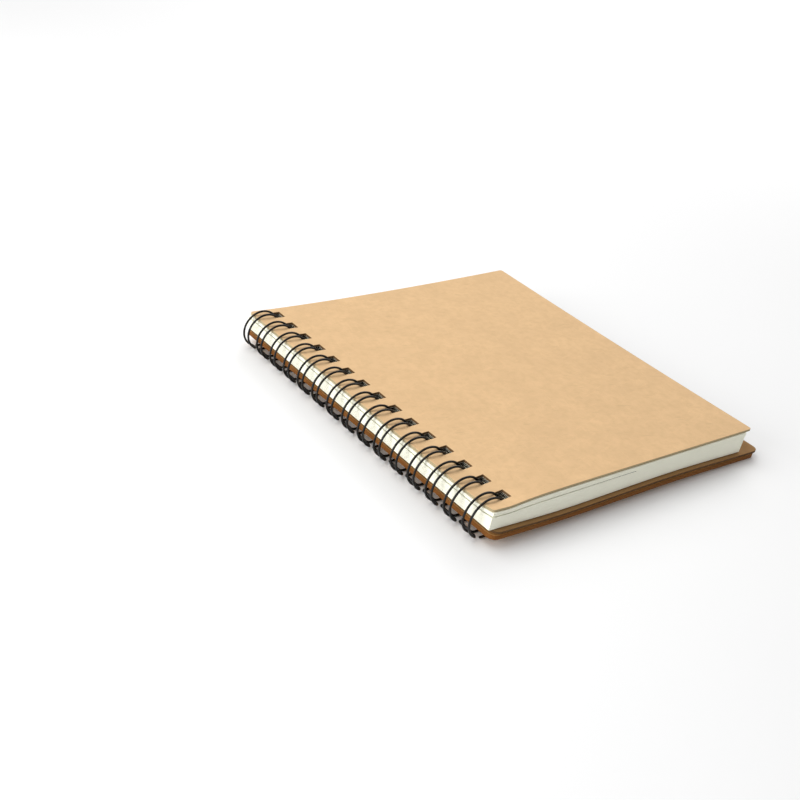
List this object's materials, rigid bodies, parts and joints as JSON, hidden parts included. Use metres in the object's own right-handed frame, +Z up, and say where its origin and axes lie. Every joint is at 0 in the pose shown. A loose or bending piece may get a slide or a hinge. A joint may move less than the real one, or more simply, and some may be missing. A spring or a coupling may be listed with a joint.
{
  "type": "wire-bound sketchbook",
  "caption": "Square sketchbook with plain kraft board covers and cream drawing paper on a black twin-loop wire along its left edge.",
  "frame": {"origin": "on the surface that the book rests on, under the middle of its bounding box", "axes": "+Z up, +Y along the spine towards the head of the page, +X from the spine towards the fore-edge"},
  "size_m": [0.1956, 0.2, 0.0208],
  "materials": {
    "kraft_board": "matte, softly mottled kraft",
    "kraft_card": "matte kraft, thinner and darker than the covers",
    "drawing_paper": "matte, warm white",
    "wire": "black gloss coating on steel wire"
  },
  "bodies": {
    "back": {"back_cover": "kraft_board", "twin_loop_wire": "wire"},
    "card": {"backing_card": "kraft_card"},
    "leaves_1": {"sheets_01": "drawing_paper", "sheets_02": "drawing_paper"},
    "leaves_2": {"sheets_03": "drawing_paper", "sheets_04": "drawing_paper"},
    "leaves_3": {"sheets_05": "drawing_paper", "sheets_06": "drawing_paper"},
    "leaves_4": {"sheets_07": "drawing_paper", "sheets_08": "drawing_paper"},
    "leaves_5": {"sheets_09": "drawing_paper", "sheets_10": "drawing_paper"},
    "leaves_6": {"sheets_11": "drawing_paper", "sheets_12": "drawing_paper"},
    "leaves_7": {"sheets_13": "drawing_paper", "sheets_14": "drawing_paper"},
    "leaves_8": {"sheets_15": "drawing_paper", "sheets_16": "drawing_paper"},
    "front": {"front_cover": "kraft_board"}
  },
  "joints": [
    {"name": "card_turn", "type": "hinge", "parent": "back", "child": "card", "pos_m": [-0.08758, 0, 0.01045], "axis": [0, -1, 0], "range_deg": [0, 180]},
    {"name": "leaves_1_turn", "type": "hinge", "parent": "card", "child": "leaves_1", "pos_m": [-0.08758, 0, 0.01045], "axis": [0, -1, 0], "range_deg": [0, 180], "deforming": ["sheets_01", "sheets_02"]},
    {"name": "leaves_2_turn", "type": "hinge", "parent": "leaves_1", "child": "leaves_2", "pos_m": [-0.08758, 0, 0.01045], "axis": [0, -1, 0], "range_deg": [0, 180], "deforming": ["sheets_03", "sheets_04"]},
    {"name": "leaves_3_turn", "type": "hinge", "parent": "leaves_2", "child": "leaves_3", "pos_m": [-0.08758, 0, 0.01045], "axis": [0, -1, 0], "range_deg": [0, 180], "deforming": ["sheets_05", "sheets_06"]},
    {"name": "leaves_4_turn", "type": "hinge", "parent": "leaves_3", "child": "leaves_4", "pos_m": [-0.08758, 0, 0.01045], "axis": [0, -1, 0], "range_deg": [0, 180], "deforming": ["sheets_07", "sheets_08"]},
    {"name": "leaves_5_turn", "type": "hinge", "parent": "leaves_4", "child": "leaves_5", "pos_m": [-0.08758, 0, 0.01045], "axis": [0, -1, 0], "range_deg": [0, 180], "deforming": ["sheets_09", "sheets_10"]},
    {"name": "leaves_6_turn", "type": "hinge", "parent": "leaves_5", "child": "leaves_6", "pos_m": [-0.08758, 0, 0.01045], "axis": [0, -1, 0], "range_deg": [0, 180], "deforming": ["sheets_11", "sheets_12"]},
    {"name": "leaves_7_turn", "type": "hinge", "parent": "leaves_6", "child": "leaves_7", "pos_m": [-0.08758, 0, 0.01045], "axis": [0, -1, 0], "range_deg": [0, 180], "deforming": ["sheets_13", "sheets_14"]},
    {"name": "leaves_8_turn", "type": "hinge", "parent": "leaves_7", "child": "leaves_8", "pos_m": [-0.08758, 0, 0.01045], "axis": [0, -1, 0], "range_deg": [0, 180], "deforming": ["sheets_15", "sheets_16"]},
    {"name": "front_turn", "type": "hinge", "parent": "leaves_8", "child": "front", "pos_m": [-0.08758, 0, 0.01045], "axis": [0, -1, 0], "range_deg": [0, 180]}
  ]
}
